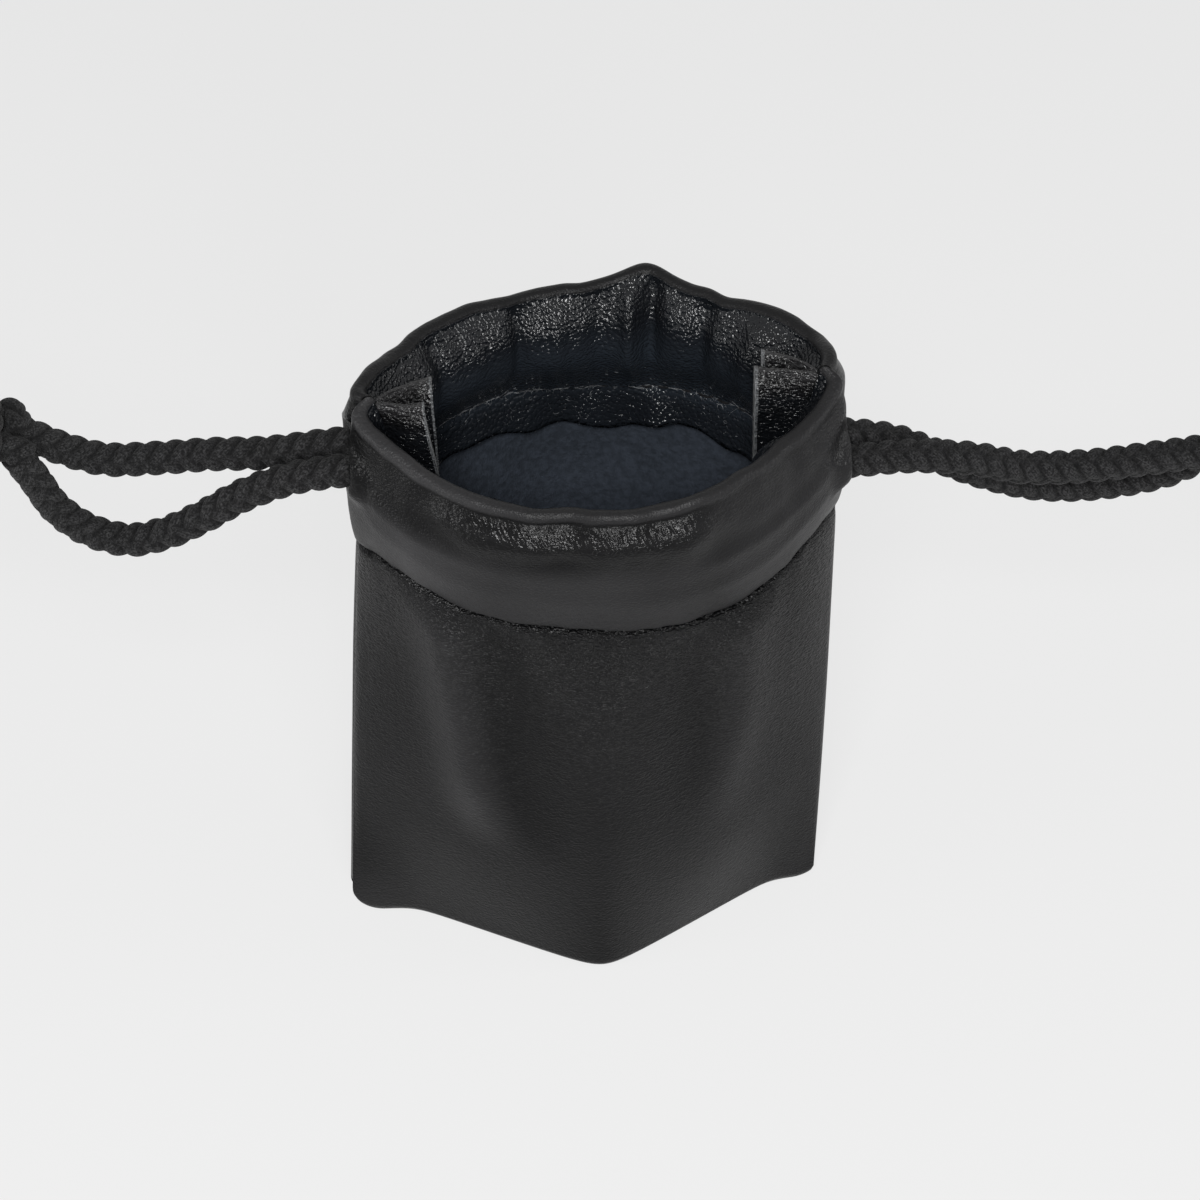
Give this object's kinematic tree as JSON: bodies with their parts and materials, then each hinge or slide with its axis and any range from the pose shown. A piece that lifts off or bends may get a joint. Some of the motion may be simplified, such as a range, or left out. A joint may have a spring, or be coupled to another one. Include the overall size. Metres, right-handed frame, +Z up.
{
  "type": "drawstring dice bag",
  "caption": "Small leatherette pouch with a folded casing round its mouth and two braided drawstrings, each tied in a knot at its own side.",
  "frame": {"origin": "middle of the flattened base, on the surface that the bag stands on", "axes": "+Z up to the mouth, +X along the base from the left side seam to the right one, front panel towards -Y"},
  "size_m": [0.2689, 0.0656, 0.1389],
  "materials": {
    "leatherette": "pebbled satin",
    "braided_cord": "braided",
    "thread": "spun"
  },
  "bodies": {
    "pouch": {"bottom_panel": "leatherette", "left_side_seam": "leatherette", "right_side_seam": "leatherette", "left_seam_stitches": "thread", "right_seam_stitches": "thread"},
    "front_wall": {"front_panel": "leatherette", "front_hem_stitches": "thread", "left_cord_front_run": "braided_cord", "right_cord_front_run": "braided_cord"},
    "back_wall": {"back_panel": "leatherette", "back_hem_stitches": "thread", "left_cord_back_run": "braided_cord", "right_cord_back_run": "braided_cord"},
    "left_cord": {"left_cord_front_strand": "braided_cord", "left_cord_back_strand": "braided_cord", "left_knot": "braided_cord"},
    "right_cord": {"right_cord_front_strand": "braided_cord", "right_cord_back_strand": "braided_cord", "right_knot": "braided_cord"}
  },
  "joints": [
    {"name": "left_cord_pull", "type": "slide", "parent": "pouch", "child": "left_cord", "axis": [-1, 0, 0], "range_m": [0, 0.02]},
    {"name": "right_cord_pull", "type": "slide", "parent": "pouch", "child": "right_cord", "axis": [1, 0, 0], "range_m": [0, 0.02]},
    {"name": "front_fold", "type": "hinge", "parent": "pouch", "child": "front_wall", "pos_m": [0, -0.02, 0], "axis": [-1, 0, 0], "range_deg": [0, 12.51], "deforming": ["front_panel", "front_hem_stitches", "left_cord_front_run", "right_cord_front_run"]},
    {"name": "back_fold", "type": "hinge", "parent": "pouch", "child": "back_wall", "pos_m": [0, 0.02, 0], "axis": [1, 0, 0], "range_deg": [0, 10.51], "deforming": ["back_panel", "back_hem_stitches", "left_cord_back_run", "right_cord_back_run"]}
  ],
  "couplings": [
    {"joint": "right_cord_pull", "follows": "left_cord_pull", "ratio": 1},
    {"joint": "front_fold", "follows": "left_cord_pull", "rad_per_m": 10.908},
    {"joint": "back_fold", "follows": "left_cord_pull", "rad_per_m": 9.163}
  ]
}
